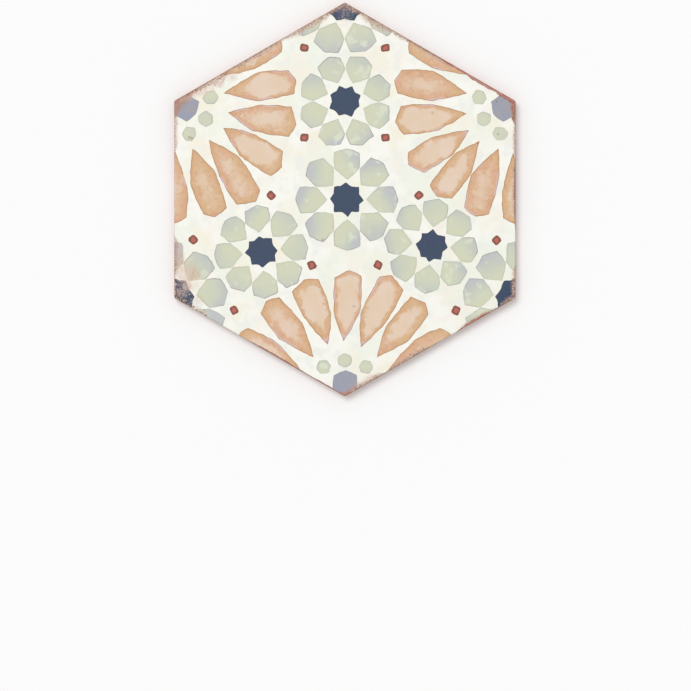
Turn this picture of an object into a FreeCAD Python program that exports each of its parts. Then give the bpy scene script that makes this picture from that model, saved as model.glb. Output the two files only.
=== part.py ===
"""Hexagon floor tile: one pressed and fired slab, face up, lying flat with a corner towards +Y.

The slab is a regular hexagon with eased arrises. Its sides stand straight below the face and then
lean inwards to the foot, so that mortar fills the joint. The back is keyed for adhesive with a
honeycomb of shallow cells whose walls are drafted to leave the press. Lengths are in millimetres.
"""

import FreeCAD, Part
import math
import os

import Sketcher

SIZES = {
    "across_flats": 285.0,
    "thickness": 10.0,
    "corner_radius": 1.6,
    "face_easing": 1.2,
    "foot_slope_rise": 5.5,
    "foot_setback": 0.7,
    "border_land": 12.0,
    "rib_width": 3.2,
    "key_depth": 0.8,
    "key_draft": 35.0,
    "cell_rings": 5,
}
SIDES = 6
CORNER_TO_CORNER = 360 / SIDES
FLAT_UP = 0
CORNER_UP = CORNER_TO_CORNER / 2
TOLERANCE = 1e-6

doc = FreeCAD.newDocument("HexagonTile")


def add_sizes():
    """The driving dimensions, one named cell each: lengths in mm, the draft in degrees."""
    sheet = doc.addObject("Spreadsheet::Sheet", "Sizes")
    for row, (name, value) in enumerate(SIZES.items(), start=1):
        sheet.set(f"A{row}", name)
        sheet.set(f"B{row}", str(value))
        sheet.setAlias(f"B{row}", name)
    doc.recompute()


def sketch_on_base(body, name):
    """An empty sketch on the body's own XY plane, the plane the tile lies on."""
    plane = next(item for item in body.Origin.OriginFeatures if item.Role == "XY_Plane")
    sketch = body.newObject("Sketcher::SketchObject", name)
    sketch.AttachmentSupport = [(plane, "")]
    sketch.MapMode = "FlatFace"
    return sketch


def bind(sketch, constraint, name, expression):
    """Adds one dimension to a sketch under a name and ties it to the sheet."""
    index = sketch.addConstraint(constraint)
    sketch.renameConstraint(index, name)
    sketch.setExpression(f"Constraints.{name}", expression)


def draw_hexagon(sketch, name, centre, radius, first_corner, radius_of, centre_of=None):
    """A regular hexagon on a construction circle, its first corner at FLAT_UP or CORNER_UP degrees.

    centre and radius start the drawing in its place. The expressions radius_of and centre_of (its
    x and y) then hold it there, and a hexagon with no centre_of is held on the sketch's origin.
    """
    middle = FreeCAD.Vector(*centre)
    ring = sketch.addGeometry(Part.Circle(middle, FreeCAD.Vector(0, 0, 1), radius), True)
    corners = []
    for side in range(SIDES):
        angle = math.radians(first_corner + side * CORNER_TO_CORNER)
        corners.append(middle + FreeCAD.Vector(radius * math.cos(angle), radius * math.sin(angle)))
    lines = [
        sketch.addGeometry(Part.LineSegment(corners[side], corners[(side + 1) % SIDES]))
        for side in range(SIDES)
    ]
    rules = []
    for side, line in enumerate(lines):
        rules.append(Sketcher.Constraint("Coincident", line, 2, lines[(side + 1) % SIDES], 1))
        rules.append(Sketcher.Constraint("PointOnObject", line, 1, ring))
    rules += [Sketcher.Constraint("Equal", lines[0], line) for line in lines[1:]]
    if first_corner == CORNER_UP:
        rules.append(Sketcher.Constraint("Vertical", lines[SIDES - 1]))
    else:
        rules.append(Sketcher.Constraint("Horizontal", lines[1]))
    if centre_of is None:
        rules.append(Sketcher.Constraint("Coincident", ring, 3, -1, 1))
    sketch.addConstraint(rules)
    bind(sketch, Sketcher.Constraint("Radius", ring, radius), f"{name}_radius", radius_of)
    if centre_of is not None:
        for axis, kind in enumerate(("DistanceX", "DistanceY")):
            place = Sketcher.Constraint(kind, -1, 1, ring, 3, centre[axis])
            bind(sketch, place, f"{name}_{'xy'[axis]}", centre_of[axis])


def edges_where(shape, wanted):
    """The names of a shape's edges that wanted accepts."""
    return [f"Edge{number}" for number, edge in enumerate(shape.Edges, start=1) if wanted(edge)]


def add_slab(body):
    """The pressed blank: a hexagonal prism with rounded corners, an eased face and a sloped foot."""
    outline = sketch_on_base(body, "Outline")
    radius = SIZES["across_flats"] / math.sqrt(3)
    draw_hexagon(outline, "slab", (0, 0), radius, CORNER_UP, "Sizes.across_flats / sqrt(3)")
    slab = body.newObject("PartDesign::Pad", "Slab")
    slab.Profile = outline
    slab.setExpression("Length", "Sizes.thickness")
    doc.recompute()

    thickness = SIZES["thickness"]
    corners = body.newObject("PartDesign::Fillet", "RoundedCorners")
    corners.Base = (
        slab,
        edges_where(slab.Shape, lambda edge: abs(edge.BoundBox.ZLength - thickness) < TOLERANCE),
    )
    corners.setExpression("Radius", "Sizes.corner_radius")
    doc.recompute()

    face = body.newObject("PartDesign::Fillet", "EasedFace")
    face.Base = (
        corners,
        edges_where(corners.Shape, lambda edge: edge.BoundBox.ZMin > thickness - TOLERANCE),
    )
    face.setExpression("Radius", "Sizes.face_easing")
    doc.recompute()

    foot = body.newObject("PartDesign::Chamfer", "SlopedFoot")
    foot.Base = (face, edges_where(face.Shape, lambda edge: edge.BoundBox.ZMax < TOLERANCE))
    foot.ChamferType = "Two distances"
    foot.setExpression("Size", "Sizes.foot_slope_rise")
    foot.setExpression("Size2", "Sizes.foot_setback")
    doc.recompute()


# The cells' pitch fills the back from the border land at one flat to the land at the other.
PITCH = (
    "(Sizes.across_flats / 2 - Sizes.border_land + Sizes.rib_width / sqrt(3))"
    " / (Sizes.cell_rings * sqrt(3) / 2 + 1 / sqrt(3))"
)


def cell_pitch():
    """The same pitch in numbers, which the sketch of the cells starts from."""
    reach = SIZES["across_flats"] / 2 - SIZES["border_land"] + SIZES["rib_width"] / math.sqrt(3)
    return reach / (SIZES["cell_rings"] * math.sqrt(3) / 2 + 1 / math.sqrt(3))


def press_cells(body, name, sketch):
    """Drafted cells, pressed up into the back from their mouths in the sketch."""
    cells = body.newObject("PartDesign::Pocket", name)
    cells.Profile = sketch
    cells.Reversed = True
    cells.Refine = False
    cells.setExpression("Length", "Sizes.key_depth")
    cells.setExpression("TaperAngle", "-Sizes.key_draft")
    doc.recompute()
    return cells


def add_keyed_back(body):
    """The honeycomb: a centre cell, and a sixth of its rings repeated round the tile's centre.

    Column by column, the sixth reaches from the upright line through the tile's corner to the next
    corner's line, which the next sixth holds.
    """
    pitch = cell_pitch()
    radius = (pitch - SIZES["rib_width"]) / math.sqrt(3)
    radius_of = f"({PITCH} - Sizes.rib_width) / sqrt(3)"

    centre_mouth = sketch_on_base(body, "CentreMouth")
    draw_hexagon(centre_mouth, "centre", (0, 0), radius, FLAT_UP, radius_of)
    press_cells(body, "CentreCell", centre_mouth)

    mouths = sketch_on_base(body, "CellMouths")
    rings = int(SIZES["cell_rings"])
    for column in range(rings):
        for step in range(rings - column):
            across = column * math.sqrt(3) / 2
            along = 1 + step + column / 2
            centre_of = (f"{PITCH} * {column} * sqrt(3) / 2", f"{PITCH} * {along}")
            centre = (pitch * across, pitch * along)
            name = f"cell_{column}_{step}"
            draw_hexagon(mouths, name, centre, radius, FLAT_UP, radius_of, centre_of)
    cells = press_cells(body, "SixthOfCells", mouths)

    around = body.newObject("PartDesign::PolarPattern", "AllCells")
    around.Originals = [cells]
    around.Axis = (mouths, ["N_Axis"])
    around.Angle = SIDES * CORNER_TO_CORNER
    around.Occurrences = SIDES
    around.Refine = False
    body.Tip = around
    doc.recompute()


def add_hexagon_tile():
    """The whole tile: its blank, and the cells in its back."""
    body = doc.addObject("PartDesign::Body", "HexagonTile")
    body.Label = "hexagon_tile"
    add_slab(body)
    add_keyed_back(body)
    return body


def check(bodies):
    """Stops before anything is written if a feature failed or a body isn't one valid solid."""
    failed = [item.Label for item in doc.Objects if {"Invalid", "Error"} & set(item.State)]
    if failed:
        raise RuntimeError(f"features failed: {failed}")
    for body in bodies:
        if body.Shape.isNull() or not body.Shape.isValid() or len(body.Shape.Solids) != 1:
            raise RuntimeError(f"{body.Label} is not one valid solid")


add_sizes()
tile = add_hexagon_tile()
doc.recompute()
check([tile])
os.makedirs("parts", exist_ok=True)
tile.Shape.exportStep(f"parts/{tile.Label}.step")
box = tile.Shape.BoundBox
print(f"{tile.Label}: {box.XLength:.2f} x {box.YLength:.2f} x {box.ZLength:.2f} mm")
print(f"volume {tile.Shape.Volume / 1000:.1f} cm3, {len(tile.Shape.Faces)} faces")
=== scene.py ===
import math
import random

import bpy
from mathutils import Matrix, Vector


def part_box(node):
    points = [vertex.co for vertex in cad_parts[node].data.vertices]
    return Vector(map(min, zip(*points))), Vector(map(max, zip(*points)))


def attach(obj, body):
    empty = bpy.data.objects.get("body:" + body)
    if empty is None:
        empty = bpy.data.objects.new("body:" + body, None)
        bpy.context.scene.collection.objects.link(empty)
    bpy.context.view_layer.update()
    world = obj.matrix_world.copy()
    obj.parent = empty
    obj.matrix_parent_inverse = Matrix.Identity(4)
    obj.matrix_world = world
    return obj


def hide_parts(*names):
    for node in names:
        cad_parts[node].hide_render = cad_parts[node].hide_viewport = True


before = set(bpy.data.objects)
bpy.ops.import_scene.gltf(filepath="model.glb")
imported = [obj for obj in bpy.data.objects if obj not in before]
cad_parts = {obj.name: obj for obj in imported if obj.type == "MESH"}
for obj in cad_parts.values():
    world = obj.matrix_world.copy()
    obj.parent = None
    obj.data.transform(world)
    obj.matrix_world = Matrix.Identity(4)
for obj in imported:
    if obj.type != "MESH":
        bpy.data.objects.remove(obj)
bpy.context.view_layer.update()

# Glazed slab. The tile is one slab of red clay, pressed in a steel die, glazed on its face and fired.
# The die leaves sharp drafted cells on the back. The glaze ends in a wavering line just below the
# eased face, and at the rim it is rubbed through to the clay.
MM = 0.001
SIDES = 6
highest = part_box("hexagon_tile")[1]
FACE_HEIGHT = highest[2] / MM
HALF_ACROSS = highest[0] / MM
CORNER_REACH = HALF_ACROSS * 2 / math.sqrt(3)
SIDE_ANGLES = [side * 360 / SIDES for side in range(SIDES)]
PRESS_ROUNDING = 0.2
EASED_RIM = 1.5
WELD_GAP = 0.001
SAME_FACE = math.radians(0.5)
PRESSED_EDGE = math.radians(25)
SMOOTH_CURVE = math.radians(30)


def pick(*objects):
    """Selects these objects alone, the first of them active."""
    bpy.ops.object.select_all(action="DESELECT")
    for item in objects:
        item.select_set(True)
    bpy.context.view_layer.objects.active = objects[0]


def from_centre(reach, angle):
    """A point on the face, in mm: reach from the tile's centre, angle in degrees from +X."""
    return Vector((reach * math.cos(math.radians(angle)), reach * math.sin(math.radians(angle))))


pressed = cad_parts["hexagon_tile"].data.copy()
slab = bpy.data.objects.new("glazed_slab", pressed)
bpy.context.scene.collection.objects.link(slab)
pick(slab)
bpy.ops.object.mode_set(mode="EDIT")
bpy.ops.mesh.select_all(action="SELECT")
bpy.ops.mesh.remove_doubles(threshold=WELD_GAP * MM)
bpy.ops.mesh.dissolve_limited(angle_limit=SAME_FACE)
bpy.ops.object.mode_set(mode="OBJECT")
rounding = slab.modifiers.new("die_rounding", "BEVEL")
rounding.width = PRESS_ROUNDING * MM
rounding.segments = 2
rounding.limit_method = "ANGLE"
rounding.angle_limit = PRESSED_EDGE
bpy.ops.object.modifier_apply(modifier="die_rounding")
bpy.ops.object.mode_set(mode="EDIT")
bpy.ops.mesh.select_all(action="SELECT")
bpy.ops.mesh.quads_convert_to_tris()
bpy.ops.object.mode_set(mode="OBJECT")
bpy.ops.object.shade_smooth_by_angle(angle=SMOOTH_CURVE)


def linear(hex_colour):
    """A written sRGB colour, such as "#F8F7EC", as the linear colour that a shader takes."""
    channels = [int(hex_colour[place:place + 2], 16) / 255 for place in (1, 3, 5)]
    return [c / 12.92 if c < 0.04045 else ((c + 0.055) / 1.055) ** 2.4 for c in channels] + [1.0]


def add(tree, kind, settings, inputs, out=0):
    """Adds one node with its settings, sets or links its inputs, and returns one of its outputs."""
    node = tree.nodes.new("ShaderNode" + kind)
    for name, value in settings.items():
        setattr(node, name, value)
    for socket, value in inputs.items():
        if isinstance(value, bpy.types.NodeSocket):
            tree.links.new(value, node.inputs[socket])
        else:
            node.inputs[socket].default_value = value
    return node.outputs[out]


COLOUR_MIX = {"data_type": "RGBA"}
SMOOTH = {"interpolation_type": "SMOOTHSTEP"}
SHIFTED = {"noise_dimensions": "4D"}
PLUS = {"operation": "ADD"}
MINUS = {"operation": "SUBTRACT"}
TIMES = {"operation": "MULTIPLY"}
TIMES_PLUS = {"operation": "MULTIPLY_ADD"}
LARGER = {"operation": "MAXIMUM"}

# Where the rim is rubbed, and where it is only painted darker. Each stretch is given by the side it
# is on, as the angle that side faces, how far along the side its middle lies (anticlockwise from the
# side's own middle), half its length, and how deep it reaches in from the edge, in mm. Bare stretches
# are worn to brown clay and rusted ones to a red slip, except the two in the middle of the side facing
# 240 degrees, which only paint a thin brown and red line along the rim there. Crumbled ones are pits
# and chips that thin out inwards, and scuffed ones are ground to a haze, except the first on the side
# facing 300 degrees, which only paints a rosy haze there that browns towards the edge, up to 7 mm in.
# Stained ones have soaked up brown.
BARE_STRETCHES = [
    (0, 5, 36, 1.3), (0, 75, 15, 3.9), (60, 2, 40, 1.3), (60, 62, 22, 1.0), (120, -60, 34, 0.8),
    # The stretch 14 mm along the side facing 240 degrees only paints a thin brown line at the rim.
    (120, 10, 50, 1.0), (120, 62, 28, 1.3), (180, -76, 8, 0.6), (240, 14, 30, 1.6), (240, 52, 34, 1.0),
    (300, -58, 26, 0.7), (300, -14, 34, 0.6), (300, 72, 14, 1.0),
]
RUSTED_STRETCHES = [
    (60, -76, 18, 3.9), (60, -52, 26, 3.1), (60, -26, 24, 2.0), (180, -82, 5, 2.6),
    # The last stretch, on the side facing 240 degrees, only paints a thin red line at the rim.
    (300, 44, 19, 2.1), (300, -80, 7, 1.4), (0, 10, 20, 1.0), (240, 16, 26, 1.3),
    (240, 66, 20, 1.0),
]
CRUMBLED_STRETCHES = [
    (0, -77, 15, 5.2), (0, 8, 34, 2.8), (0, 48, 22, 3.2), (0, 72, 14, 5.2), (60, -6, 26, 4.2),
    (60, 28, 14, 3.8), (60, 51, 22, 6.0), (60, 79, 14, 7.0), (120, -79, 14, 7.5), (120, -46, 32, 6.0),
    (120, 4, 36, 5.4), (120, 50, 26, 7.0), (120, 42, 14, 11.0), (120, 74, 16, 5.0), (180, 54, 18, 2.4),
    (180, 76, 10, 7.0), (240, -78, 12, 5.0), (240, -60, 12, 6.0), (300, -62, 20, 4.6),
    (300, -18, 24, 5.5), (300, 46, 24, 3.4), (300, 78, 15, 5.0),
]
SCUFFED_STRETCHES = [
    (0, -70, 18, 5.0), (0, 8, 36, 4.2), (0, 48, 20, 3.0), (0, 72, 14, 5.0), (60, -4, 34, 5.2),
    (60, 28, 16, 5.0), (60, 52, 24, 8.5), (60, 76, 14, 5.0), (120, -78, 14, 5.0), (120, -48, 34, 6.5),
    (120, 2, 36, 6.0), (120, 50, 28, 10.5), (120, 68, 16, 8.5), (180, -58, 28, 4.0), (180, 48, 20, 9.0),
    # The first stretch, on the side facing 300 degrees, only paints a rosy haze that browns towards the
    # edge.
    (300, -62, 22, 7.0), (300, -22, 26, 5.0), (300, 46, 24, 4.0), (300, 78, 14, 4.0),
]
STAINED_STRETCHES = [(120, 78, 18, 10.0), (180, -79, 13, 8.0), (0, 78, 13, 6.5), (300, -78, 11, 4.5)]
# Patches away from the edge: place on the face and half width in mm, and strength. Smears are rubbed
# to a haze, speckled ones are nicked to pale specks, and flecks are single dark spots and smudges.
SMEARS = [
    ((-130.5, -61.5), 12.0, 0.95), ((-139.0, -57.0), 12.0, 0.8), ((-141.0, -45.0), 9.0, 0.6),
    ((-136.0, -64.5), 8.0, 0.8), ((-132.5, -72.5), 7.0, 0.95),
    ((-138.0, -78.0), 6.0, 0.7), ((-125.0, -73.0), 7.0, 0.35),
    ((-121.0, -84.0), 6.0, 0.35), ((-104.0, 96.5), 4.5, 0.95), ((-94.0, 101.0), 6.0, 0.5),
    ((-119.5, 91.0), 7.0, 0.75), ((-113.0, 96.0), 5.5, 0.6),
]
SPECKLED = [
    ((-134.0, -76.0), 8.0, 0.9), ((-126.0, -86.0), 7.0, 0.6), ((0.5, 153.0), 8.0, 0.6),
]
FLECKS = [
    ((-18.2, -34.0), 2.2, 0.3), ((-130.0, 51.8), 1.7, 0.5), ((-127.6, 51.2), 1.6, 0.5),
    ((127.9, 54.4), 1.1, 0.6), ((126.5, 81.8), 0.9, 0.8), ((7.3, -89.3), 2.3, 0.3),
    ((73.0, 72.3), 2.2, 0.3), ((12.0, -72.0), 0.9, 0.5),
]

wear = bpy.data.node_groups.new("worn_rim", "ShaderNodeTree")
wear.interface.new_socket("Glaze", in_out="INPUT", socket_type="NodeSocketColor")
wear.interface.new_socket("Colour", in_out="OUTPUT", socket_type="NodeSocketColor")
wear.interface.new_socket("Worn", in_out="OUTPUT", socket_type="NodeSocketFloat")
wear_in = wear.nodes.new("NodeGroupInput")
metres = add(wear, "TexCoord", {}, {}, "Object")
spot = add(wear, "VectorMath", {"operation": "SCALE"}, {0: metres, "Scale": 1 / MM})
level_spot = add(wear, "VectorMath", TIMES, {0: spot, 1: (1, 1, 0)})
reach = 0.0
for angle in SIDE_ANGLES[:SIDES // 2]:
    outward = (*from_centre(1, angle), 0)
    along = add(wear, "VectorMath", {"operation": "DOT_PRODUCT"}, {0: spot, 1: outward}, "Value")
    along = add(wear, "Math", {"operation": "ABSOLUTE"}, {0: along})
    reach = add(wear, "Math", LARGER, {0: reach, 1: along})
from_edge = add(wear, "Math", MINUS, {0: HALF_ACROSS, 1: reach})
height = add(wear, "SeparateXYZ", {}, {0: spot}, "Z")
down_side = add(wear, "Math", MINUS, {0: FACE_HEIGHT - EASED_RIM, 1: height})
down_side = add(wear, "Math", LARGER, {0: down_side, 1: 0.0})
from_edge = add(wear, "Math", PLUS, {0: from_edge, 1: down_side})

MIDDLE = 0.35


def worn_depth(stretches):
    """How deep the wear of some stretches reaches at each spot, in mm.

    It is at its deepest over the middle third of a stretch and fades to none at its ends.
    """
    depth = 0.0
    for side, along, half_length, deepest in stretches:
        middle = (*(from_centre(HALF_ACROSS, side) + from_centre(along, side + 90)), 0)
        away = add(wear, "VectorMath", {"operation": "DISTANCE"}, {0: level_spot, 1: middle}, "Value")
        limits = {
            "Value": away, "From Min": half_length, "From Max": MIDDLE * half_length, "To Max": deepest,
        }
        here = add(wear, "MapRange", SMOOTH, limits)
        depth = add(wear, "Math", LARGER, {0: depth, 1: here})
    return depth


def way_in(stretches):
    """How far in a spot lies, as a share of the depth that the wear of some stretches has there."""
    depth = add(wear, "Math", LARGER, {0: worn_depth(stretches), 1: 0.01})
    return add(wear, "Math", {"operation": "DIVIDE"}, {0: from_edge, 1: depth})


def patches_of(spots):
    """How strongly some patches show at each spot, ragged at their outlines."""
    strongest = 0.0
    for place, half_width, strength in spots:
        away = add(wear, "VectorMath", {"operation": "DISTANCE"}, {0: level_spot, 1: (*place, 0)}, "Value")
        away = add(wear, "Math", {"operation": "DIVIDE"}, {0: away, 1: half_width})
        away = add(wear, "Math", TIMES_PLUS, {0: tear, 1: 1.8, 2: away})
        limits = {"Value": away, "From Min": 1.9, "From Max": 1.1, "To Max": strength}
        here = add(wear, "MapRange", SMOOTH, limits)
        strongest = add(wear, "Math", LARGER, {0: strongest, 1: here})
    return strongest


tear = add(wear, "TexNoise", {}, {"Vector": spot, "Scale": 1 / 4.0, "Detail": 9, "Roughness": 0.7})
crumb = add(wear, "TexNoise", {}, {"Vector": spot, "Scale": 1 / 1.9, "Detail": 7, "Roughness": 0.8})
drift = add(wear, "TexNoise", {}, {"Vector": spot, "Scale": 1 / 11.0, "Detail": 3, "Roughness": 0.6})
chip = add(wear, "TexNoise", SHIFTED, {"Vector": spot, "W": 5.0, "Scale": 1 / 1.1, "Detail": 3})
grind = add(wear, "TexNoise", {}, {"Vector": spot, "Scale": 1 / 1.4, "Detail": 6, "Roughness": 0.8})
limits = {"Value": tear, "From Min": 0.3, "From Max": 0.7, "To Min": 0.3, "To Max": -0.3}
ragged = add(wear, "MapRange", {}, limits)
limits = {"Value": grind, "From Min": 0.38, "From Max": 0.60, "To Min": 0.3, "To Max": 1.0}
gritty = add(wear, "MapRange", {}, limits)

limits = {"Value": way_in(STAINED_STRETCHES), "From Min": 1.0, "From Max": 0.25, "To Max": 0.85}
stained = add(wear, "MapRange", SMOOTH, limits)
colour = add(wear, "Mix", COLOUR_MIX, {0: stained, 6: wear_in.outputs["Glaze"], 7: linear("#B18368")}, 2)

share = add(wear, "Math", PLUS, {0: way_in(SCUFFED_STRETCHES), 1: ragged})
scuffed = add(wear, "MapRange", SMOOTH, {"Value": share, "From Min": 1.05, "From Max": 0.1})
scuffed = add(wear, "Math", LARGER, {0: scuffed, 1: patches_of(SMEARS)})
scuffed = add(wear, "Math", TIMES, {0: scuffed, 1: gritty})
pale_or_rosy = add(wear, "MapRange", SMOOTH, {"Value": drift, "From Min": 0.40, "From Max": 0.58})
scuff_tint = add(wear, "Mix", COLOUR_MIX, {0: pale_or_rosy, 6: linear("#CC9C8B"), 7: linear("#DDBFAF")}, 2)
limits = {"Value": from_edge, "From Min": 4.5, "From Max": 0.8, "To Max": 0.9}
brown_edge = add(wear, "MapRange", SMOOTH, limits)
scuff_tint = add(wear, "Mix", COLOUR_MIX, {0: brown_edge, 6: scuff_tint, 7: linear("#AE8673")}, 2)
colour = add(wear, "Mix", COLOUR_MIX, {0: scuffed, 6: colour, 7: scuff_tint}, 2)
specks = add(wear, "MapRange", SMOOTH, {"Value": grind, "From Min": 0.47, "From Max": 0.55})
specks = add(wear, "Math", TIMES, {0: specks, 1: patches_of(SPECKLED)})
colour = add(wear, "Mix", COLOUR_MIX, {0: specks, 6: colour, 7: linear("#BDB1A9")}, 2)

share = way_in(CRUMBLED_STRETCHES)
limits = {"Value": share, "From Min": 0.0, "From Max": 1.0, "To Min": 0.45, "To Max": 0.60}
needed = add(wear, "MapRange", {}, limits)
crumbs = add(wear, "Math", MINUS, {0: crumb, 1: needed})
limits = {"Value": crumbs, "From Min": -0.02, "From Max": 0.04, "To Max": 0.9}
crumbs = add(wear, "MapRange", SMOOTH, limits)
within = add(wear, "MapRange", SMOOTH, {"Value": share, "From Min": 1.15, "From Max": 0.85})
crumbs = add(wear, "Math", TIMES, {0: crumbs, 1: within})
rusty = add(wear, "MapRange", SMOOTH, {"Value": chip, "From Min": 0.36, "From Max": 0.48})
crumb_tint = add(wear, "Mix", COLOUR_MIX, {0: rusty, 6: linear("#735A52"), 7: linear("#B38D7A")}, 2)
creamy = add(wear, "MapRange", SMOOTH, {"Value": chip, "From Min": 0.49, "From Max": 0.60})
crumb_tint = add(wear, "Mix", COLOUR_MIX, {0: creamy, 6: crumb_tint, 7: linear("#DECBBB")}, 2)
colour = add(wear, "Mix", COLOUR_MIX, {0: crumbs, 6: colour, 7: crumb_tint}, 2)

limits = {"Value": tear, "From Min": 0.33, "From Max": 0.62, "To Min": 0.5, "To Max": 1.1}
torn = add(wear, "MapRange", {}, limits)
bare_depth = add(wear, "Math", TIMES, {0: worn_depth(BARE_STRETCHES), 1: torn})
bare_gap = add(wear, "Math", MINUS, {0: bare_depth, 1: from_edge})
bare = add(wear, "MapRange", SMOOTH, {"Value": bare_gap, "From Min": -0.4, "From Max": 0.3, "To Max": 0.9})
bare_tint = add(wear, "Mix", COLOUR_MIX, {0: creamy, 6: linear("#93705F"), 7: linear("#B9907D")}, 2)
colour = add(wear, "Mix", COLOUR_MIX, {0: bare, 6: colour, 7: bare_tint}, 2)

rust_depth = add(wear, "Math", TIMES, {0: worn_depth(RUSTED_STRETCHES), 1: torn})
rust_gap = add(wear, "Math", MINUS, {0: rust_depth, 1: from_edge})
limits = {"Value": rust_gap, "From Min": -0.3, "From Max": 0.3, "To Max": 0.93}
rust = add(wear, "MapRange", SMOOTH, limits)
wander = add(wear, "Math", TIMES_PLUS, {0: drift, 1: 7.0, 2: from_edge})
streak = add(wear, "TexNoise", {"noise_dimensions": "1D"}, {"W": wander, "Scale": 0.9, "Detail": 3})
streak = add(wear, "MapRange", SMOOTH, {"Value": streak, "From Min": 0.38, "From Max": 0.60})
rust_tint = add(wear, "Mix", COLOUR_MIX, {0: streak, 6: linear("#9C5C55"), 7: linear("#C08674")}, 2)
colour = add(wear, "Mix", COLOUR_MIX, {0: rust, 6: colour, 7: rust_tint}, 2)

colour = add(wear, "Mix", COLOUR_MIX, {0: patches_of(FLECKS), 6: colour, 7: linear("#86655B")}, 2)
worn = add(wear, "Math", LARGER, {0: bare, 1: crumbs})
worn = add(wear, "Math", LARGER, {0: worn, 1: rust})
wear_out = wear.nodes.new("NodeGroupOutput")
wear.links.new(colour, wear_out.inputs["Colour"])
wear.links.new(worn, wear_out.inputs["Worn"])


def glaze(name, paint, roughness):
    """A fired satin glaze: the colour that paint lays down, rubbed to bare clay at the rim.

    paint takes the material's nodes and the spot in mm, and gives the colour. The glaze is fritted
    glass with a fine orange peel, and it is duller and pitted where it is worn.
    """
    material = bpy.data.materials.new(name)
    material.use_nodes = True
    tree = material.node_tree
    shader = tree.nodes["Principled BSDF"]
    metres = add(tree, "TexCoord", {}, {}, "Object")
    spot = add(tree, "VectorMath", {"operation": "SCALE"}, {0: metres, "Scale": 1 / MM})
    colour = paint(tree, spot)
    rim = tree.nodes.new("ShaderNodeGroup")
    rim.node_tree = wear
    tree.links.new(colour, rim.inputs["Glaze"])
    worn = rim.outputs["Worn"]
    dulled = add(tree, "MapRange", {}, {"Value": worn, "To Min": roughness, "To Max": 0.85})
    peel = add(tree, "TexNoise", {}, {"Vector": spot, "Scale": 1 / 1.8, "Detail": 3})
    surface = add(tree, "Math", TIMES_PLUS, {0: worn, 1: -0.8, 2: peel})
    relief = add(tree, "Bump", {}, {"Height": surface, "Strength": 0.35, "Distance": 0.06 * MM})
    tree.links.new(rim.outputs["Colour"], shader.inputs["Base Color"])
    tree.links.new(dulled, shader.inputs["Roughness"])
    tree.links.new(relief, shader.inputs["Normal"])
    shader.inputs["IOR"].default_value = 1.52
    shader.inputs["Specular IOR Level"].default_value = 0.35
    return material


def ground_paint(tree, spot):
    """The off-white ground, with faint clouds of yellow, rose, green and grey from the brush.

    Below the eased face the glaze gives way to the clay of the sides and the back.
    """
    colour = linear("#FCFBF3")
    clouds = [
        ("#F7F1DD", 24.0, 0.52), ("#F9F1E8", 13.0, 0.60), ("#F2F6E8", 20.0, 0.54), ("#F0F2EB", 8.0, 0.56),
    ]
    for number, (cloud, width, threshold) in enumerate(clouds):
        pattern = {"Vector": spot, "W": 3.7 * number, "Scale": 1 / width, "Detail": 3}
        drift = add(tree, "TexNoise", SHIFTED, pattern)
        limits = {
            "Value": drift, "From Min": threshold - 0.08, "From Max": threshold + 0.12, "To Max": 0.85,
        }
        amount = add(tree, "MapRange", SMOOTH, limits)
        colour = add(tree, "Mix", COLOUR_MIX, {0: amount, 6: colour, 7: linear(cloud)}, 2)
    height = add(tree, "SeparateXYZ", {}, {0: spot}, "Z")
    waver = add(tree, "TexNoise", {}, {"Vector": spot, "Scale": 1 / 7.0, "Detail": 5})
    line = add(tree, "Math", TIMES_PLUS, {0: waver, 1: 7.0, 2: height})
    limits = {"Value": line, "From Min": FACE_HEIGHT - 0.2, "From Max": FACE_HEIGHT + 0.3}
    glazed = add(tree, "MapRange", SMOOTH, limits)
    grog = add(tree, "TexNoise", {}, {"Vector": spot, "Scale": 1 / 1.1, "Detail": 6, "Roughness": 0.7})
    grog = add(tree, "MapRange", {}, {"Value": grog, "From Min": 0.35, "From Max": 0.7})
    kiln = add(tree, "TexNoise", {}, {"Vector": spot, "Scale": 1 / 45.0, "Detail": 4})
    kiln = add(tree, "MapRange", {}, {"Value": kiln, "From Min": 0.35, "From Max": 0.65})
    clay = add(tree, "Mix", COLOUR_MIX, {0: kiln, 6: linear("#B77E68"), 7: linear("#C08E78")}, 2)
    clay = add(tree, "Mix", COLOUR_MIX, {0: grog, 6: clay, 7: linear("#D0A894")}, 2)
    return add(tree, "Mix", COLOUR_MIX, {0: glazed, 6: clay, 7: colour}, 2)


slab.data.materials.clear()
slab.data.materials.append(glaze("satin_ground_glaze", ground_paint, 0.42))
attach(slab, "root")
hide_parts("hexagon_tile")

# Navy stars. Each has the shape of two squares laid over each other, flooded with cobalt and iron
# glaze that pools a little darker at the outline. Four are whole, and the tile's corners cut three.
HAND = random.Random(8)
STAR_START = 10
STAR_BLUNT = 0.5
STAR_RIM = 0.7
STAR_SLIP = 0.1
STAR_TWIST = 0.3
SAME_PLACE = 0.01
# How any glaze is laid and fired, in mm: its thickness above and below the slab's surface, the
# brush's waver, and how far in from the tile's edge it is trimmed and bent down over the rim.
LAYING_HEIGHT = FACE_HEIGHT + 1
LAYER = 0.05
SUNK = 0.10
WAVER_LENGTH = 6
WAVER_STRENGTH = 1.5
EDGE_GAP = 0.1
CORNER_GAP = 0.45
RIM_LINES = (0.3, 0.7, 1.2)
CUT_PRECISION = 0.0001
SIDE_TO_CORNER = 180 / SIDES


def side_gap(point, outline):
    """How far a point lies inside an outline, in mm: the gap to the nearest side."""
    gaps = []
    for start, end in zip(outline, outline[1:] + outline[:1]):
        side = end - start
        share = min(max((point - start).dot(side) / side.length_squared, 0.0), 1.0)
        gaps.append((point - start - side * share).length)
    return min(gaps)


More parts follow.
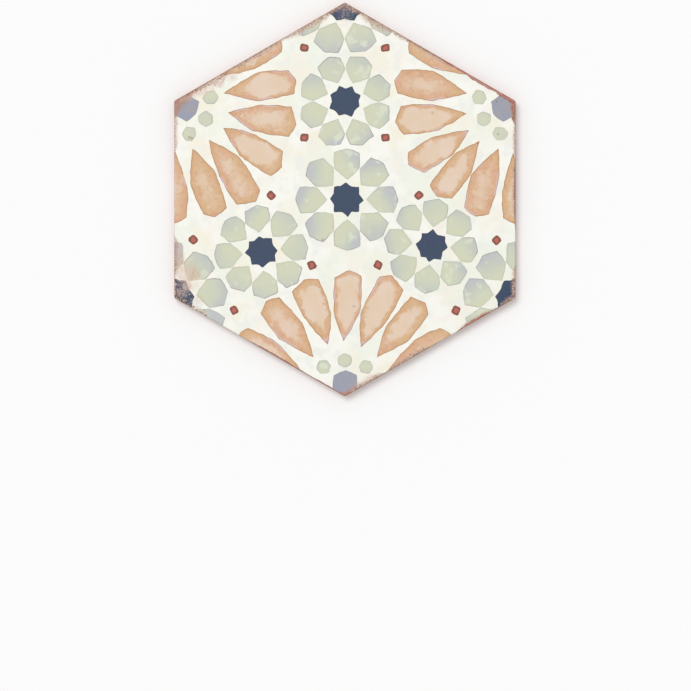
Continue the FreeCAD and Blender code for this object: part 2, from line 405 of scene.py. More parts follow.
def note_lay(patch, outline, origin, angle, wetness=0.5):
    """Keeps each point's place in its own patch, in mm, for the washes of colour.

    lay holds how far the point is along and across the patch and how far inside its outline, and
    tone holds two draws that make each patch's washes its own and how wet the patch was painted.
    """
    forward = from_centre(1, angle)
    sideways = Vector((-forward.y, forward.x))
    draws = (HAND.random(), HAND.random(), wetness, 1.0)
    places = []
    for vertex in patch.data.vertices:
        point = Vector(vertex.co[:2]) / MM
        place = point - origin
        places += [place.dot(forward), place.dot(sideways), side_gap(point, outline)]
    lay = patch.data.attributes.new("lay", "FLOAT_VECTOR", "POINT")
    lay.data.foreach_set("vector", places)
    tone = patch.data.attributes.new("tone", "FLOAT_COLOR", "POINT")
    tone.data.foreach_set("color", draws * len(patch.data.vertices))


def lay_star(centre, corners):
    """A flat star from its sixteen corners, each given by its reach in mm and its angle.

    A disc's points are pulled out to the corners. The corners are blunt, and a ring of points stands
    just inside the outline.
    """
    bpy.ops.mesh.primitive_circle_add(
        vertices=len(corners), radius=STAR_START * MM, fill_type="NGON",
        location=(centre.x * MM, centre.y * MM, LAYING_HEIGHT * MM),
    )
    star = bpy.context.object
    bpy.ops.object.transform_apply(location=True)
    outline = [centre + from_centre(reach, angle) for reach, angle in corners]
    middle = centre * MM
    ring = sorted(
        star.data.vertices,
        key=lambda vertex: math.atan2(vertex.co.y - middle.y, vertex.co.x - middle.x) % math.tau,
    )
    order = [vertex.index for vertex in ring]
    for number, corner in zip(order, outline):
        bpy.ops.object.mode_set(mode="EDIT")
        bpy.ops.mesh.select_mode(type="VERT")
        bpy.ops.mesh.select_all(action="DESELECT")
        bpy.ops.object.mode_set(mode="OBJECT")
        star.data.vertices[number].select = True
        pull = corner * MM - Vector(star.data.vertices[number].co[:2])
        bpy.ops.object.mode_set(mode="EDIT")
        bpy.ops.transform.translate(value=(pull.x, pull.y, 0))
    bpy.ops.mesh.select_all(action="SELECT")
    bpy.ops.mesh.subdivide(number_cuts=3)
    bpy.ops.mesh.select_all(action="DESELECT")
    bpy.ops.object.mode_set(mode="OBJECT")
    for vertex in star.data.vertices:
        point = Vector(vertex.co[:2])
        vertex.select = any((point - corner * MM).length < SAME_PLACE * MM for corner in outline)
    bpy.ops.object.mode_set(mode="EDIT")
    bpy.ops.mesh.bevel(affect="VERTICES", offset=STAR_BLUNT * MM, segments=1)
    bpy.ops.mesh.select_all(action="SELECT")
    bpy.ops.mesh.inset(thickness=STAR_RIM * MM, use_even_offset=True)
    bpy.ops.object.mode_set(mode="OBJECT")
    note_lay(star, outline, centre, corners[0][1])
    return star


def cut(point, outward, clear=True):
    """Cuts flat patches upright through a point in mm, and clears away what lies outward of it."""
    bpy.ops.mesh.select_all(action="SELECT")
    bpy.ops.mesh.bisect(
        plane_co=(point.x * MM, point.y * MM, 0), plane_no=(outward.x, outward.y, 0),
        clear_outer=clear, threshold=CUT_PRECISION * MM,
    )


def fire_onto_slab(name, patches, finish):
    """Joins flat patches into one piece of glaze, in its finish, and fires it onto the slab.

    The outlines waver as a brush does, the patches are trimmed at the tile's edge and follow its
    eased rim, and they stand a twentieth of a millimetre proud with their undersides in the slab.
    """
    pick(*patches)
    bpy.ops.object.join()
    piece = bpy.context.object
    piece.name = name
    piece.data.name = name
    piece.data.materials.append(finish)
    waver = bpy.data.textures.new("brush_waver", "CLOUDS")
    waver.cloud_type = "COLOR"
    waver.noise_scale = WAVER_LENGTH * MM
    brush = piece.modifiers.new("brush", "DISPLACE")
    brush.texture = waver
    brush.texture_coords = "GLOBAL"
    brush.direction = "RGB_TO_XYZ"
    brush.strength = WAVER_STRENGTH * MM
    bpy.ops.object.modifier_apply(modifier="brush")
    bpy.ops.object.mode_set(mode="EDIT")
    for angle in SIDE_ANGLES:
        corner = angle + SIDE_TO_CORNER
        cut(from_centre(HALF_ACROSS - EDGE_GAP, angle), from_centre(1, angle))
        cut(from_centre(CORNER_REACH - CORNER_GAP, corner), from_centre(1, corner))
        for inset in RIM_LINES:
            cut(from_centre(HALF_ACROSS - inset, angle), from_centre(1, angle), clear=False)
    bpy.ops.object.mode_set(mode="OBJECT")
    seat = piece.modifiers.new("seat", "SHRINKWRAP")
    seat.target = slab
    seat.wrap_method = "PROJECT"
    seat.use_project_z = True
    seat.use_positive_direction = False
    seat.use_negative_direction = True
    seat.offset = LAYER * MM
    bpy.ops.object.modifier_apply(modifier="seat")
    body = piece.modifiers.new("body", "SOLIDIFY")
    body.thickness = (LAYER + SUNK) * MM
    bpy.ops.object.modifier_apply(modifier="body")
    bpy.ops.object.shade_smooth_by_angle(angle=SMOOTH_CURVE)
    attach(piece, "root")
    return piece


def place_in_patch(tree):
    """Where a spot lies in its own patch, in mm: along it, across it, and in from its outline."""
    lay = add(tree, "Attribute", {"attribute_name": "lay"}, {}, "Vector")
    return add(tree, "SeparateXYZ", {}, {0: lay}).node.outputs


def draws_of_patch(tree):
    """The two draws of a patch and how wet it was painted, each from 0 to 1."""
    tone = add(tree, "Attribute", {"attribute_name": "tone"}, {}, "Color")
    return add(tree, "SeparateColor", {}, {0: tone}).node.outputs


def navy_paint(tree, spot):
    """Flooded navy, darker for half a millimetre at the outline, with faint clouds and thin spots."""
    inward = place_in_patch(tree)["Z"]
    cloud = add(tree, "TexNoise", {}, {"Vector": spot, "Scale": 1 / 8.0, "Detail": 4})
    cloud = add(tree, "MapRange", SMOOTH, {"Value": cloud, "From Min": 0.45, "From Max": 0.65})
    colour = add(tree, "Mix", COLOUR_MIX, {0: cloud, 6: linear("#35465E"), 7: linear("#374362")}, 2)
    thin = add(tree, "TexNoise", {}, {"Vector": spot, "Scale": 1 / 1.6, "Detail": 6, "Roughness": 0.7})
    thin = add(tree, "MapRange", SMOOTH, {"Value": thin, "From Min": 0.5, "From Max": 0.75, "To Max": 0.5})
    colour = add(tree, "Mix", COLOUR_MIX, {0: thin, 6: colour, 7: linear("#4A5B74")}, 2)
    pooled = add(tree, "MapRange", SMOOTH, {"Value": inward, "From Min": 0.6, "From Max": 0.1})
    return add(tree, "Mix", COLOUR_MIX, {0: pooled, 6: colour, 7: linear("#2B3A52")}, 2)


# Each rosette round a star: its centre in mm and the angle of one point.
WHOLE_ROSETTES = [
    (Vector((0.5, 81.9)), 22.5),
    (Vector((1.7, -0.2)), 0.0),
    (Vector((-69.9, -43.6)), 6.5),
    (Vector((72.2, -38.6)), -6.5),
]
CORNER_ROSETTES = [(from_centre(CORNER_REACH, angle), angle + 180) for angle in (90, 210, 330)]
# The stars' corners, tips and notches by turns: reach in mm, and angle. The whole stars' angles are
# from +X and the cut stars' from the line to the tile's centre.
WHOLE_STARS = [
    [
        (13.8, 22), (11.0, 45), (13.9, 66), (10.9, 90), (13.8, 112), (11.6, 132),
        (14.0, 156), (11.0, 181), (14.6, 204), (11.6, 227), (13.6, 245), (10.8, 268),
        (13.9, 291), (11.2, 314), (12.7, 341), (11.1, 361),
    ],
    [
        (14.3, -3), (11.3, 24), (14.6, 46), (11.6, 68), (14.5, 93), (12.5, 115),
        (15.3, 133), (12.5, 154), (14.4, 177), (11.5, 201), (14.6, 223), (11.1, 249),
        (14.3, 273), (11.1, 292), (14.4, 314), (10.8, 339),
    ],
    [
        (13.8, 6), (11.1, 27), (14.5, 52), (11.5, 80), (13.1, 98), (10.5, 121),
        (13.8, 141), (10.8, 165), (13.7, 183), (10.1, 212), (13.4, 233), (10.9, 256),
        (13.5, 276), (11.1, 307), (14.7, 325), (11.8, 346),
    ],
    [
        (13.9, -8), (11.7, 16), (13.8, 35), (10.4, 60), (14.1, 84), (10.8, 107),
        (13.4, 125), (10.1, 150), (13.6, 175), (11.2, 204), (12.9, 227), (10.7, 246),
        (14.0, 261), (11.3, 282), (14.3, 305), (10.8, 330),
    ],
]
CUT_STAR = [
    (17.3, 26), (15.3, 42), (18, 66), (13, 90), (17, 112), (13, 135), (17, 158), (13, 180),
    (17, 202), (13, 225), (17, 248), (13, 270), (18, 294), (15.3, 318), (17.3, 334), (14.2, 360),
]

stars = []
for (centre, turn), measured in zip(WHOLE_ROSETTES, WHOLE_STARS):
    corners = list(measured)
    for number in range(0, len(corners), 2):
        reach, angle = measured[number]
        slip = HAND.uniform(-STAR_SLIP, STAR_SLIP)
        twist = HAND.uniform(-STAR_TWIST, STAR_TWIST)
        corners[number] = (reach + slip, angle + twist)
    stars.append(lay_star(centre, corners))
for centre, inwards in CORNER_ROSETTES:
    stars.append(lay_star(centre, [(reach, inwards + lean) for reach, lean in CUT_STAR]))
navy_stars = fire_onto_slab("navy_stars", stars, glaze("navy_glaze", navy_paint, 0.4))

# Sage petals. Eight stand round each star, each pointing at one of its tips and all but touching
# its neighbours where it is widest. They are a thin copper-green wash with a second, cooler one over
# part of it, and both dry a little darker at the outline.
PATCH_GRAIN = 1.6
PATCH_MARGIN = 1
SIDE_BULGE = 0.02
CORNER_EASING = 0.22
BETWEEN_PETALS = 45
TOUCH = 0.008
CUT_PETAL_STRETCH = 1.08
WELL_INSIDE = 0.5
POINT_SLACK = 0.3
JOINT_SLACK = 0.4
OUTER_SLACK = 0.6
# The petals' sizes by rosette: how far the inner point, the joints with the next petals, the
# shoulders and the outer point lie from the rosette's centre in mm, and how many degrees the
# shoulders and the outer point lie off the petal's line.
SMALL_PETAL = {"tip": 15.7, "side": 27.3, "shoulder": 37.0, "apex": 39.8, "spread": 16.3, "sway": -1.5}
LARGE_PETAL = {"tip": 16.3, "side": 28.4, "shoulder": 40.4, "apex": 43.2, "spread": 15.6, "sway": 0.0}
CORNER_PETAL = {"tip": 18.3, "side": 30.8, "shoulder": 42.2, "apex": 44.8, "spread": 16.0, "sway": 0.0}


def lay_patch(outline, origin, angle, wetness=0.5, easing=CORNER_EASING):
    """A flat patch of glaze inside an outline in mm, with its sides full and its corners eased."""
    low = Vector((min(p.x for p in outline), min(p.y for p in outline)))
    high = Vector((max(p.x for p in outline), max(p.y for p in outline)))
    size = high - low + Vector((PATCH_MARGIN, PATCH_MARGIN))
    middle = (low + high) / 2
    bpy.ops.mesh.primitive_grid_add(
        x_subdivisions=round(size.x / PATCH_GRAIN), y_subdivisions=round(size.y / PATCH_GRAIN), size=1,
        location=(middle.x * MM, middle.y * MM, LAYING_HEIGHT * MM),
    )
    patch = bpy.context.object
    patch.scale = (size.x * MM, size.y * MM, 1)
    bpy.ops.object.transform_apply(location=True, rotation=True, scale=True)
    full = []
    for corner, after in zip(outline, outline[1:] + outline[:1]):
        side = after - corner
        full += [corner, corner + side / 2 + Vector((side.y, -side.x)) * SIDE_BULGE]
    bpy.ops.object.mode_set(mode="EDIT")
    for number, point in enumerate(full):
        ahead = (full[(number + 1) % len(full)] - point).normalized()
        behind = (full[number - 1] - point).normalized()
        cut(point, Vector((ahead.y, -ahead.x)))
        if number % 2 == 0:
            inwards = (ahead + behind).normalized()
            cut(point + inwards * easing, -inwards)
    bpy.ops.object.mode_set(mode="OBJECT")
    note_lay(patch, full, origin, angle, wetness)
    return patch


def by_hand(centre, reach, angle, slack):
    """A point at reach and angle from a centre, missed by up to slack mm as a hand would."""
    miss = Vector((HAND.uniform(-slack, slack), HAND.uniform(-slack, slack)))
    return centre + from_centre(reach, angle) + miss


def on_tile(point):
    """Whether a point in mm is on the face."""
    edge = HALF_ACROSS - WELL_INSIDE
    return all(point.dot(from_centre(1, angle)) < edge for angle in SIDE_ANGLES)


def ring_of_petals(centre, turn, tip, side, shoulder, apex, spread, sway):
    """The sage petals of one rosette that are on the tile; where its edge cuts them they are longer."""
    angles = [turn + number * BETWEEN_PETALS for number in range(8)]
    joints = [by_hand(centre, side, angle - BETWEEN_PETALS / 2, JOINT_SLACK) for angle in angles]
    petals = []
    for number, angle in enumerate(angles):
        whole = on_tile(centre + from_centre(apex, angle))
        longer = 1.0 if whole else CUT_PETAL_STRETCH
        axis = centre + from_centre(side, angle)
        clockwise = joints[number].lerp(axis, TOUCH)
        anticlockwise = joints[(number + 1) % len(joints)].lerp(axis, TOUCH)
        outline = [
            by_hand(centre, tip, angle, POINT_SLACK),
            clockwise,
            by_hand(centre, shoulder * longer, angle - spread, OUTER_SLACK),
            by_hand(centre, apex * longer, angle + sway, OUTER_SLACK),
            by_hand(centre, shoulder * longer, angle + spread, OUTER_SLACK),
            anticlockwise,
        ]
        if any(on_tile(point) for point in outline):
            petals.append(lay_patch(outline, centre, angle, HAND.random()))
    return petals


# How far the draws spread the petals over the noise, so that no two share a cloud.
DRAW_SPREAD = 40.0


def sage_paint(tree, spot):
    """Sage wash that cools to grey and lilac at the outer end, with yellow wisps and a fine grey line."""
    along, across, inward = place_in_patch(tree)
    first, second, wet = draws_of_patch(tree)
    own = add(tree, "Math", TIMES, {0: first, 1: DRAW_SPREAD})
    broad = add(tree, "TexNoise", SHIFTED, {"Vector": spot, "W": own, "Scale": 1 / 22.0, "Detail": 2})
    middling = add(tree, "TexNoise", SHIFTED, {"Vector": spot, "W": own, "Scale": 1 / 9.0, "Detail": 3})
    fine = add(tree, "TexNoise", {}, {"Vector": spot, "Scale": 1 / 1.4, "Detail": 6, "Roughness": 0.65})
    side = add(tree, "TexNoise", SHIFTED, {"Vector": spot, "W": own, "Scale": 1 / 13.0, "Detail": 1})

    outer = add(tree, "MapRange", {}, {"Value": along, "From Min": 24.0, "From Max": 43.0, "To Max": 0.8})
    aslant = add(tree, "MapRange", {}, {"Value": second, "To Min": -0.055, "To Max": 0.055})
    flow = add(tree, "Math", TIMES_PLUS, {0: across, 1: aslant, 2: outer})
    flow = add(tree, "Math", PLUS, {0: flow, 1: broad})
    mottled = add(tree, "Math", TIMES_PLUS, {0: middling, 1: 0.9, 2: flow})
    yellow = add(tree, "MapRange", SMOOTH, {"Value": mottled, "From Min": 1.4, "From Max": 0.85})
    colour = add(tree, "Mix", COLOUR_MIX, {0: yellow, 6: linear("#CDD2BE"), 7: linear("#D5D7BA")}, 2)
    cool = add(tree, "MapRange", SMOOTH, {"Value": flow, "From Min": 0.68, "From Max": 1.35})
    strong = add(tree, "MapRange", {}, {"Value": wet, "To Min": 0.5, "To Max": 1.0})
    cool = add(tree, "Math", TIMES, {0: cool, 1: strong})
    colour = add(tree, "Mix", COLOUR_MIX, {0: cool, 6: colour, 7: linear("#BFC4BF")}, 2)
    lilac = add(tree, "MapRange", SMOOTH, {"Value": mottled, "From Min": 1.4, "From Max": 1.9})
    lilac = add(tree, "Math", TIMES, {0: lilac, 1: cool})
    colour = add(tree, "Mix", COLOUR_MIX, {0: lilac, 6: colour, 7: linear("#BBBCC7")}, 2)
    wisp = add(tree, "Math", TIMES_PLUS, {0: first, 1: 0.14, 2: middling})
    limits = {"Value": wisp, "From Min": 0.66, "From Max": 0.80, "To Max": 0.8}
    wisp = add(tree, "MapRange", SMOOTH, limits)
    colour = add(tree, "Mix", COLOUR_MIX, {0: wisp, 6: colour, 7: linear("#E2E6CE")}, 2)
    grain = add(tree, "MapRange", {}, {"Value": fine, "From Min": 0.3, "From Max": 0.7, "To Max": 0.3})
    colour = add(tree, "Mix", COLOUR_MIX, {0: grain, 6: colour, 7: linear("#D8DBC8")}, 2)
    limits = {"Value": inward, "From Min": 2.2, "From Max": 0.0, "To Max": 0.35}
    soft = add(tree, "MapRange", SMOOTH, limits)
    colour = add(tree, "Mix", COLOUR_MIX, {0: soft, 6: colour, 7: linear("#C2C8B6")}, 2)
    drawn = add(tree, "MapRange", {}, {"Value": side, "From Min": 0.40, "From Max": 0.56, "To Min": 0.1})
    outer = add(tree, "MapRange", {}, {"Value": along, "From Min": 22.0, "From Max": 34.0, "To Min": 0.25})
    limits = {"Value": inward, "From Min": 1.0, "From Max": 0.2, "To Max": 0.85}
    line = add(tree, "MapRange", SMOOTH, limits)
    line = add(tree, "Math", TIMES, {0: line, 1: drawn})
    line = add(tree, "Math", TIMES, {0: line, 1: outer})
    mauve = add(tree, "MapRange", SMOOTH, {"Value": side, "From Min": 0.56, "From Max": 0.66})
    ink = add(tree, "Mix", COLOUR_MIX, {0: mauve, 6: linear("#9EA2A6"), 7: linear("#A08A98")}, 2)
    return add(tree, "Mix", COLOUR_MIX, {0: line, 6: colour, 7: ink}, 2)


petals = []
for (centre, turn), petal in zip(WHOLE_ROSETTES, (SMALL_PETAL, LARGE_PETAL, SMALL_PETAL, SMALL_PETAL)):
    petals += ring_of_petals(centre, turn, **petal)
for centre, inwards in CORNER_ROSETTES:
    petals += ring_of_petals(centre, inwards + BETWEEN_PETALS / 2, **CORNER_PETAL)
sage_glaze = glaze("sage_glaze", sage_paint, 0.44)
sage_petals = fire_onto_slab("sage_petals", petals, sage_glaze)

# Sage hexagons. Three small ones stand between each corner's periwinkle hexagon and its ring of
# peach petals, in the wash that the sage petals have at their inner ends.
LARGE_ROSETTES = [(from_centre(CORNER_REACH, angle), angle + 180) for angle in (30, 150, 270)]
HEXAGON_DISTANCE = 30.4
HEXAGON_LEANS = (-35.5, 0, 35.5)
HEXAGON_REACHES = (6.6, 6.5, 6.5, 6.7, 6.5, 6.5)
HEXAGON_SLACK = 0.5
HEXAGON_EASING = 0.35
INNER_WASH = 24

hexagons = []
for centre, inwards in LARGE_ROSETTES:
    for lean in HEXAGON_LEANS:
        middle = centre + from_centre(HEXAGON_DISTANCE, inwards + lean)
        outline = [
            by_hand(middle, reach, inwards + lean + number * 360 / SIDES, HEXAGON_SLACK)
            for number, reach in enumerate(HEXAGON_REACHES)
        ]
        flow = HAND.uniform(0, 360)
        source = middle - from_centre(INNER_WASH, flow)
        hexagons.append(lay_patch(outline, source, flow, HAND.random(), HEXAGON_EASING))
sage_hexagons = fire_onto_slab("sage_hexagons", hexagons, sage_glaze)

# Peach petals. Long pointed ones fan out from three corners of the tile, five whole and two cut by
# its edges at each. The iron wash dried pale in the middle and drew its pigment to the outline.
# Each petal of a fan is given by its six corners, anticlockwise from the point: how far from the
# tile's corner in mm, and how many degrees from the line to the tile's centre.
PEACH_FAN = [
    [(43, 58.5), (73, 51.5), (99, 54.5), (102.5, 58.5), (99, 66), (72, 69)],
    [(42, 39), (69.5, 30), (100, 33.5), (103.5, 39.5), (99, 45), (74.5, 49)],
    [(45.5, 18), (70.5, 9), (100.5, 12.5), (103.5, 19), (98, 27), (72, 27.5)],
    [(46, 1), (72, -10), (102, -8), (105.5, -2), (100, 5), (70.5, 7.5)],
    [(43, -18), (71.5, -29), (101.5, -29), (108.5, -21), (104, -16), (71, -10.5)],
    [(42, -39), (71, -49), (98, -45.5), (103, -40.5), (99.5, -33.5), (67, -30)],
    [(42, -58.5), (72, -69), (98, -66), (102.5, -59.5), (98, -54), (77, -51)],
]
RIGHT_HAND_FAN = [
    [(43.5, 57), (76.5, 51.5), (98.5, 54), (102.5, 60), (99, 66), (72, 69)],
    [(42, 40.5), (71.5, 28.5), (99.5, 34.5), (102.5, 41), (97.5, 46.5), (65.5, 48)],
    [(45.5, 18.5), (67.5, 11), (100.5, 14.5), (103.5, 20.5), (97.5, 27), (71.5, 28.5)],
    [(45.5, 2.5), (74.5, -6.5), (99.5, -4.5), (104, 1), (97, 8), (69, 10.5)],
    [(42, -15.5), (70.5, -28), (95.5, -27.5), (102.5, -20), (97.5, -13), (70, -9)],
    [(41.5, -39), (72.5, -50), (98.5, -45.5), (102.5, -39.5), (98.5, -33.5), (71, -30)],
    [(46, -58), (72, -69), (98, -66), (102, -58), (97.5, -54), (73.5, -51.5)],
]
# How wet each petal of a fan was painted, from pale at 0 to flooded with ochre at 1.
PEACH_WETNESS = (0.45, 0.6, 0.3, 0.15, 0.1, 0.5, 0.95)
LEFT_HAND_WETNESS = (0.5, 0.25, 0.5, 0.1, 0.7, 0.8, 0.95)
RIGHT_HAND_WETNESS = (0.4, 0.8, 0.4, 0.25, 0.15, 0.75, 1.0)
PEACH_SLACK = 0.3


def peach_paint(tree, spot):
    """Pale peach, with the wash's pigment drawn in ragged ochre pools to the outline and both ends.

    Dry petals pool golden. Flooded ones are tinted all over and pool salmon. The pools hold fine
    darker veins, and the outline is fine and brown, or rosy on some sides.
    """
    place = place_in_patch(tree)
    along = place["X"]
    inward = place["Z"]
    first, second, wet = draws_of_patch(tree)
    own = add(tree, "Math", TIMES, {0: first, 1: DRAW_SPREAD})
    broad = add(tree, "TexNoise", SHIFTED, {"Vector": spot, "W": own, "Scale": 1 / 17.0, "Detail": 2})
    middling = add(tree, "TexNoise", SHIFTED, {"Vector": spot, "W": own, "Scale": 1 / 7.0, "Detail": 4})
    blotchy = add(tree, "TexNoise", {}, {"Vector": spot, "Scale": 1 / 3.6, "Detail": 6, "Roughness": 0.6})
    fine = add(tree, "TexNoise", {}, {"Vector": spot, "Scale": 1 / 1.3, "Detail": 6, "Roughness": 0.65})
    side = add(tree, "TexNoise", SHIFTED, {"Vector": spot, "W": own, "Scale": 1 / 26.0, "Detail": 1})

    pale = add(tree, "MapRange", SMOOTH, {"Value": broad, "From Min": 0.38, "From Max": 0.62})
    colour = add(tree, "Mix", COLOUR_MIX, {0: pale, 6: linear("#E9D1BC"), 7: linear("#E6CCB1")}, 2)
    soaked = add(tree, "MapRange", {}, {"Value": wet, "From Min": 0.4, "From Max": 1.0, "To Max": 0.55})
    colour = add(tree, "Mix", COLOUR_MIX, {0: soaked, 6: colour, 7: linear("#DFBB99")}, 2)

    limits = {"Value": along, "From Min": 68.0, "From Max": 48.0, "To Max": 5.0}
    at_point = add(tree, "MapRange", SMOOTH, limits)
    limits = {"Value": along, "From Min": 84.0, "From Max": 101.0, "To Max": 7.0}
    at_end = add(tree, "MapRange", SMOOTH, limits)
    limits = {"Value": broad, "From Min": 0.36, "From Max": 0.64, "To Min": 1.4, "To Max": 5.0}
    wide = add(tree, "MapRange", {}, limits)
    wetter = add(tree, "MapRange", {}, {"Value": wet, "From Min": 0.2, "From Max": 1.0, "To Max": 12.0})
    wide = add(tree, "Math", PLUS, {0: wide, 1: wetter})
    wide = add(tree, "Math", PLUS, {0: wide, 1: at_point})
    wide = add(tree, "Math", TIMES_PLUS, {0: at_end, 1: second, 2: wide})
    share = add(tree, "Math", {"operation": "DIVIDE"}, {0: inward, 1: wide})
    ragged = add(tree, "Math", TIMES_PLUS, {0: blotchy, 1: 0.35, 2: middling})
    limits = {"Value": ragged, "From Min": 0.4, "From Max": 0.95, "To Min": 0.55, "To Max": -0.55}
    ragged = add(tree, "MapRange", {}, limits)
    broken = add(tree, "MapRange", {}, {"Value": wet, "To Max": 0.6})
    ragged = add(tree, "Math", TIMES_PLUS, {0: ragged, 1: broken, 2: ragged})
    share = add(tree, "Math", PLUS, {0: share, 1: ragged})
    limits = {"Value": share, "From Min": 1.1, "From Max": 0.4, "To Max": 0.95}
    pooled = add(tree, "MapRange", SMOOTH, limits)
    limits = {"Value": inward, "From Min": 10.0, "From Max": 2.0, "To Min": 0.5}
    thinner = add(tree, "MapRange", SMOOTH, limits)
    pooled = add(tree, "Math", TIMES, {0: pooled, 1: thinner})
    golden = add(tree, "Math", TIMES_PLUS, {0: wet, 1: 0.12, 2: side})
    golden = add(tree, "MapRange", SMOOTH, {"Value": golden, "From Min": 0.64, "From Max": 0.50})
    ochre = add(tree, "Mix", COLOUR_MIX, {0: golden, 6: linear("#DDAC87"), 7: linear("#DAB181")}, 2)
    colour = add(tree, "Mix", COLOUR_MIX, {0: pooled, 6: colour, 7: ochre}, 2)
    limits = {"Value": blotchy, "From Min": 0.47, "From Max": 0.68, "To Max": 0.6}
    deep = add(tree, "MapRange", SMOOTH, limits)
    deep = add(tree, "Math", TIMES, {0: deep, 1: pooled})
    colour = add(tree, "Mix", COLOUR_MIX, {0: deep, 6: colour, 7: linear("#CC9868")}, 2)
    vein = add(tree, "Math", MINUS, {0: middling, 1: 0.5})
    vein = add(tree, "Math", {"operation": "ABSOLUTE"}, {0: vein})
    vein = add(tree, "MapRange", SMOOTH, {"Value": vein, "From Min": 0.02, "From Max": 0.0, "To Max": 0.5})
    vein = add(tree, "Math", TIMES, {0: vein, 1: pooled})
    colour = add(tree, "Mix", COLOUR_MIX, {0: vein, 6: colour, 7: linear("#C78F68")}, 2)
    limits = {"Value": inward, "From Min": 3.2, "From Max": 0.4, "To Max": 0.5}
    gathered = add(tree, "MapRange", SMOOTH, limits)
    gathered = add(tree, "Math", TIMES, {0: gathered, 1: pooled})
    colour = add(tree, "Mix", COLOUR_MIX, {0: gathered, 6: colour, 7: linear("#CE9A6C")}, 2)
    grain = add(tree, "MapRange", {}, {"Value": fine, "From Min": 0.3, "From Max": 0.7, "To Max": 0.22})
    colour = add(tree, "Mix", COLOUR_MIX, {0: grain, 6: colour, 7: linear("#E8D2BC")}, 2)

    rosy = add(tree, "MapRange", SMOOTH, {"Value": side, "From Min": 0.57, "From Max": 0.64})
    limits = {"Value": inward, "From Min": 1.9, "From Max": 1.1, "To Max": 0.85}
    band = add(tree, "MapRange", SMOOTH, limits)
    band = add(tree, "Math", TIMES, {0: rosy, 1: band})
    colour = add(tree, "Mix", COLOUR_MIX, {0: band, 6: colour, 7: linear("#DDC4C0")}, 2)
    ink = add(tree, "Mix", COLOUR_MIX, {0: rosy, 6: linear("#AE7D55"), 7: linear("#B07A7C")}, 2)
    limits = {"Value": middling, "From Min": 0.35, "From Max": 0.6, "To Min": 0.45, "To Max": 0.95}
    drawn = add(tree, "MapRange", {}, limits)
    line = add(tree, "MapRange", SMOOTH, {"Value": inward, "From Min": 0.9, "From Max": 0.25})
    line = add(tree, "Math", TIMES, {0: line, 1: drawn})
    return add(tree, "Mix", COLOUR_MIX, {0: line, 6: colour, 7: ink}, 2)


petals = []
fans = (RIGHT_HAND_FAN, PEACH_FAN, PEACH_FAN)
wetnesses = (RIGHT_HAND_WETNESS, LEFT_HAND_WETNESS, PEACH_WETNESS)
for (centre, inwards), fan, wetness in zip(LARGE_ROSETTES, fans, wetnesses):
    for corners, wet in zip(fan, wetness):
        outline = [by_hand(centre, reach, inwards + lean, PEACH_SLACK) for reach, lean in corners]
        petals.append(lay_patch(outline, centre, inwards + corners[0][1], wet))
peach_petals = fire_onto_slab("peach_petals", petals, glaze("peach_glaze", peach_paint, 0.44))

# Periwinkle hexagons. One fills each corner that the peach petals fan from, so the tile's edges
# cut it and a third of it lies on this tile. Its corners are given by reach in mm and by angle.
PERIWINKLE_CORNERS = ((21.8, 0), (20.5, 29), (20.5, 151), (21.8, 180), (20.5, 209), (20.5, 331))
PERIWINKLE_SLACK = 0.3


def periwinkle_paint(tree, spot):
    """Flat periwinkle with a greyer cloud, a little darker at the outline."""
    inward = place_in_patch(tree)["Z"]
    cloud = add(tree, "TexNoise", {}, {"Vector": spot, "Scale": 1 / 7.0, "Detail": 5})
    cloud = add(tree, "MapRange", SMOOTH, {"Value": cloud, "From Min": 0.42, "From Max": 0.60})
    colour = add(tree, "Mix", COLOUR_MIX, {0: cloud, 6: linear("#9C9FB0"), 7: linear("#A3A1A9")}, 2)
    limits = {"Value": inward, "From Min": 0.8, "From Max": 0.1, "To Max": 0.5}
    pooled = add(tree, "MapRange", SMOOTH, limits)
    return add(tree, "Mix", COLOUR_MIX, {0: pooled, 6: colour, 7: linear("#8E8FA0")}, 2)


hexagons = []
for centre, inwards in LARGE_ROSETTES:
    outline = [
        by_hand(centre, reach, inwards + around, PERIWINKLE_SLACK) for reach, around in PERIWINKLE_CORNERS
    ]
    hexagons.append(lay_patch(outline, centre, inwards))
periwinkle_glaze = glaze("periwinkle_glaze", periwinkle_paint, 0.42)
periwinkle_hexagons = fire_onto_slab("periwinkle_hexagons", hexagons, periwinkle_glaze)

# Red lozenges. Twelve small ones stand in the gaps between the rosettes, with a broad darker drying
# line round a red middle. The left-hand six mirror the right-hand ones, each given by its place and
# by the angles of its four corners.
LOZENGE_REACH = 4.7
LOZENGE_SLACK = 0.25
LOZENGE_EASING = 0.8
UPRIGHT = (49, 147, 229, 323)
ON_POINT = (3, 88, 188, 268)
TILTED = (27, 106, 200, 290)
RIGHT_HAND_LOZENGES = [
    (from_centre(131.0, 75.0), UPRIGHT), (from_centre(61.7, 56.7), UPRIGHT),
    (from_centre(131.0, 345.0), ON_POINT), (from_centre(61.7, 3.3), ON_POINT),
    (from_centre(131.0, 315.0), TILTED), (from_centre(61.7, 296.7), TILTED),
]


def red_paint(tree, spot):
    """Iron red, darker and browner for a millimetre at the outline."""
    inward = place_in_patch(tree)["Z"]
    mottle = add(tree, "TexNoise", {}, {"Vector": spot, "Scale": 1 / 2.0, "Detail": 5})
    limits = {"Value": mottle, "From Min": 0.3, "From Max": 0.7, "To Min": -0.4, "To Max": 0.4}
    edge = add(tree, "MapRange", {}, limits)
    edge = add(tree, "Math", PLUS, {0: edge, 1: inward})
    line = add(tree, "MapRange", SMOOTH, {"Value": edge, "From Min": 2.5, "From Max": 0.8})
    return add(tree, "Mix", COLOUR_MIX, {0: line, 6: linear("#C2655D"), 7: linear("#87503F")}, 2)


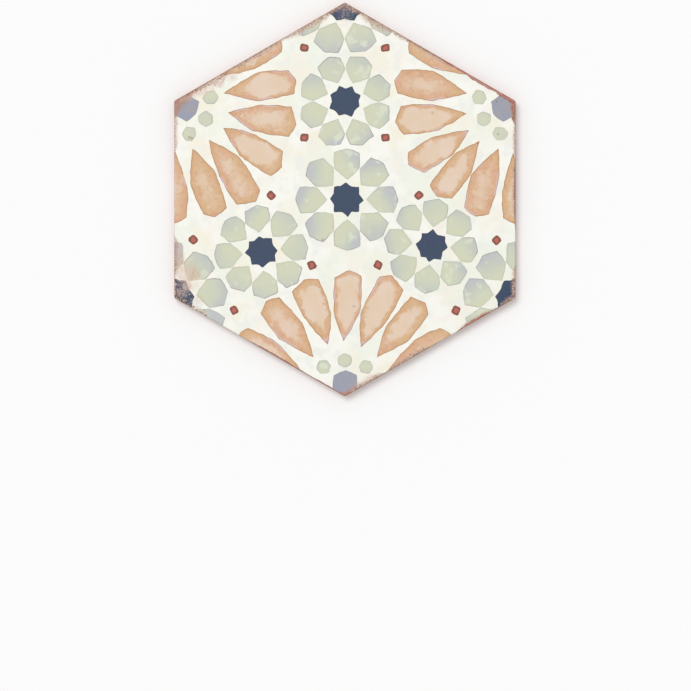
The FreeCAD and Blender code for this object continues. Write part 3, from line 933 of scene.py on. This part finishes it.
lozenges = []
for middle, corners in RIGHT_HAND_LOZENGES:
    outline = [by_hand(middle, LOZENGE_REACH, angle, LOZENGE_SLACK) for angle in corners]
    lozenges.append(lay_patch(outline, middle, corners[0], easing=LOZENGE_EASING))
    mirrored = [Vector((-point.x, point.y)) for point in reversed(outline)]
    opposite = Vector((-middle.x, middle.y))
    lozenges.append(lay_patch(mirrored, opposite, corners[0], easing=LOZENGE_EASING))
red_lozenges = fire_onto_slab("red_lozenges", lozenges, glaze("red_glaze", red_paint, 0.42))

# Floor, light and camera. The tile lies face up on a plain pale floor under an even sky and one
# broad soft sun, and the camera looks straight down from far off.
PHOTO_WIDTH = 691
TILE_WIDTH_IN_PHOTO = 341.4
TILE_CENTRE_IN_PHOTO = (344.9, 199.4)
PHOTO_MM_PER_PIXEL = 2 * HALF_ACROSS / TILE_WIDTH_IN_PHOTO
FLOOR_WIDTH = 8000
FLOOR_GAP = 0.1
SKY_STRENGTH = 0.66
SUN_STRENGTH = 1.1
SUN_WIDTH = 30
SUN_TILT = (-21, -18, 0)

bpy.ops.mesh.primitive_plane_add(size=FLOOR_WIDTH * MM, location=(0, 0, -FLOOR_GAP * MM))
floor = bpy.context.object
floor.name = "floor"
paper = bpy.data.materials.new("pale_floor")
paper.use_nodes = True
tree = paper.node_tree
matt = tree.nodes["Principled BSDF"]
matt.inputs["Roughness"].default_value = 0.9
matt.inputs["Specular IOR Level"].default_value = 0.1
seen = add(tree, "LightPath", {}, {}, "Is Camera Ray")
shade = add(tree, "Mix", COLOUR_MIX, {0: seen, 6: linear("#E6E6E4"), 7: linear("#FFFFFF")}, 2)
tree.links.new(shade, matt.inputs["Base Color"])
from_below = add(tree, "NewGeometry", {}, {}, "Backfacing")
clear = add(tree, "BsdfTransparent", {}, {})
sheet = add(tree, "MixShader", {}, {0: from_below, 1: matt.outputs[0], 2: clear})
tree.links.new(sheet, tree.nodes["Material Output"].inputs["Surface"])
floor.data.materials.append(paper)

sky = bpy.data.worlds.new("even_sky")
sky.use_nodes = True
bpy.context.scene.world = sky
rays = sky.node_tree
seen = add(rays, "LightPath", {}, {}, "Is Camera Ray")
strength = add(rays, "MapRange", {}, {"Value": seen, "To Min": SKY_STRENGTH, "To Max": 1.0})
rays.links.new(strength, rays.nodes["Background"].inputs["Strength"])
rays.nodes["Background"].inputs["Color"].default_value = linear("#FFFFFF")

sun_data = bpy.data.lights.new("soft_sun", "SUN")
sun_data.angle = math.radians(SUN_WIDTH)
sun_data.energy = SUN_STRENGTH
sun = bpy.data.objects.new("soft_sun", sun_data)
sun.rotation_euler = [math.radians(tilt) for tilt in SUN_TILT]
bpy.context.scene.collection.objects.link(sun)

lens = bpy.data.cameras.new("copy_stand")
lens.lens = 200
lens.sensor_width = 36
lens.clip_end = 50
camera = bpy.data.objects.new("copy_stand", lens)
stand_off = lens.lens / lens.sensor_width * PHOTO_WIDTH * PHOTO_MM_PER_PIXEL
camera.location = (
    (PHOTO_WIDTH / 2 - TILE_CENTRE_IN_PHOTO[0]) * PHOTO_MM_PER_PIXEL * MM,
    (TILE_CENTRE_IN_PHOTO[1] - PHOTO_WIDTH / 2) * PHOTO_MM_PER_PIXEL * MM,
    (FACE_HEIGHT + stand_off) * MM,
)
bpy.context.scene.collection.objects.link(camera)
bpy.context.scene.camera = camera
bpy.context.scene.view_settings.view_transform = "Standard"
